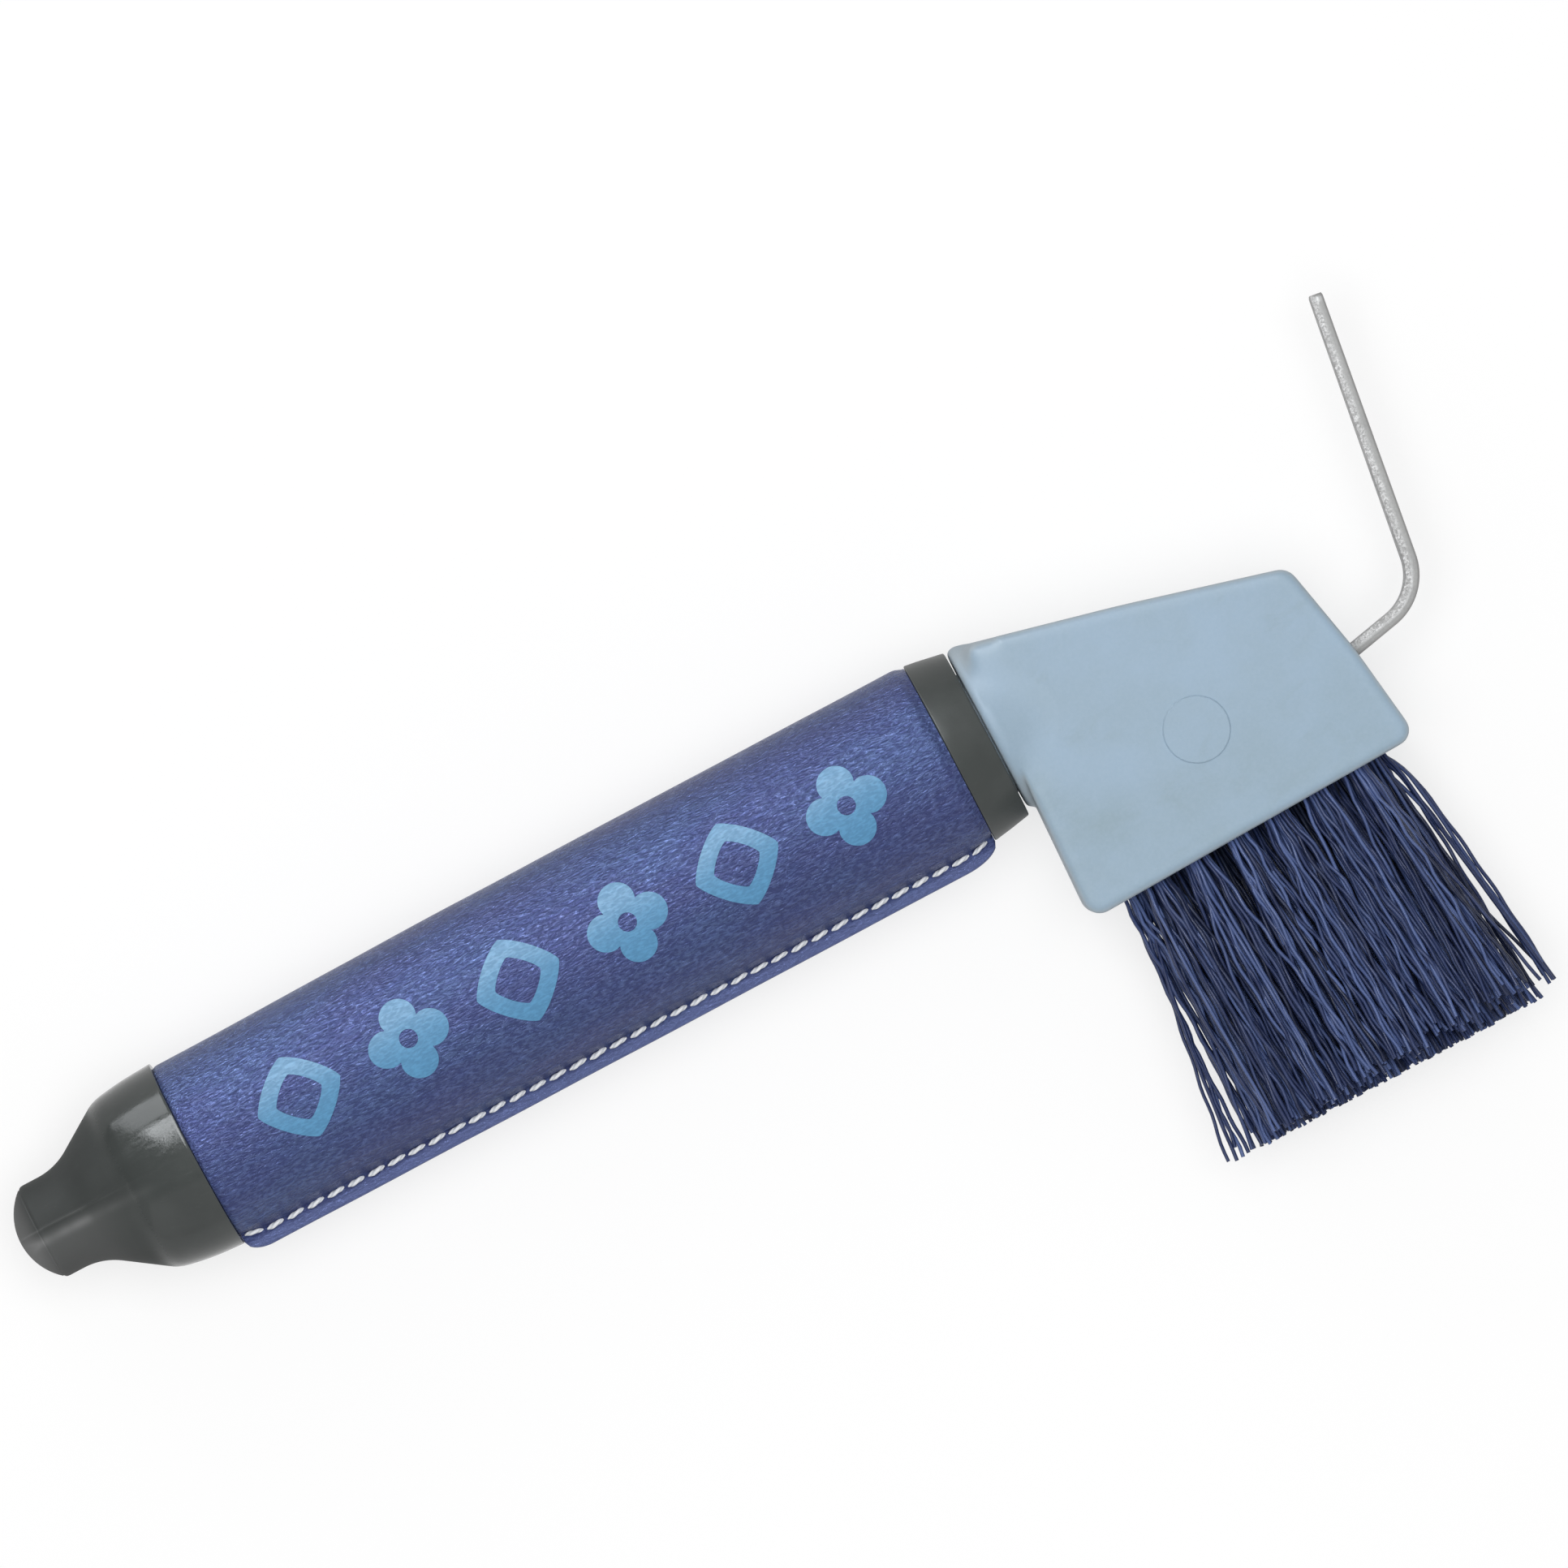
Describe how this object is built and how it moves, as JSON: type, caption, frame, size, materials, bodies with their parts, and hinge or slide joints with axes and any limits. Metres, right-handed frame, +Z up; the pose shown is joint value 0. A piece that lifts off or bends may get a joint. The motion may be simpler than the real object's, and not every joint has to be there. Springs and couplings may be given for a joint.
{
  "type": "hoof pick",
  "caption": "Hoof pick with a sewn leatherette grip, a moulded head, a bent flat steel pick on one side of the head and a tufted brush on the other.",
  "frame": {"origin": "under the centre of the bounding box, on the surface that the tool lies on", "axes": "+X along the grip towards the head, +Y towards the pick with the bristles on -Y, +Z up out of the side that shows"},
  "size_m": [0.2184, 0.1, 0.0278],
  "materials": {
    "head_plastic": "satin moulded, light blue",
    "trim_plastic": "semi-gloss moulded, dark grey",
    "core_plastic": "plain moulded",
    "sleeve_leather": "fine-grained leatherette, satin, blue-violet",
    "seam_thread": "twisted sewing thread, off-white",
    "pick_steel": "stamped strip with sheared edges, satin",
    "bristle": "crimped plastic filament, blue",
    "anchor_wire": "drawn flat wire",
    "grip_print": "printed film, light blue"
  },
  "bodies": {
    "root": {"butt_cap": "trim_plastic", "grip_core": "core_plastic", "leather_sleeve": "sleeve_leather", "seam_thread_front": "seam_thread", "seam_thread_back": "seam_thread", "collar": "trim_plastic", "brush_head": "head_plastic", "pick": "pick_steel", "tuft_a1": "bristle", "tuft_a2": "bristle", "tuft_a3": "bristle", "tuft_a4": "bristle", "tuft_a5": "bristle", "tuft_a6": "bristle", "tuft_b1": "bristle", "tuft_b2": "bristle", "tuft_b3": "bristle", "tuft_b4": "bristle", "tuft_b5": "bristle", "tuft_b6": "bristle", "tuft_b7": "bristle", "tuft_c1": "bristle", "tuft_c2": "bristle", "tuft_c3": "bristle", "tuft_c4": "bristle", "tuft_c5": "bristle", "tuft_c6": "bristle", "anchor_a1": "anchor_wire", "anchor_a2": "anchor_wire", "anchor_a3": "anchor_wire", "anchor_a4": "anchor_wire", "anchor_a5": "anchor_wire", "anchor_a6": "anchor_wire", "anchor_b1": "anchor_wire", "anchor_b2": "anchor_wire", "anchor_b3": "anchor_wire", "anchor_b4": "anchor_wire", "anchor_b5": "anchor_wire", "anchor_b6": "anchor_wire", "anchor_b7": "anchor_wire", "anchor_c1": "anchor_wire", "anchor_c2": "anchor_wire", "anchor_c3": "anchor_wire", "anchor_c4": "anchor_wire", "anchor_c5": "anchor_wire", "anchor_c6": "anchor_wire"}
  },
  "joints": []
}
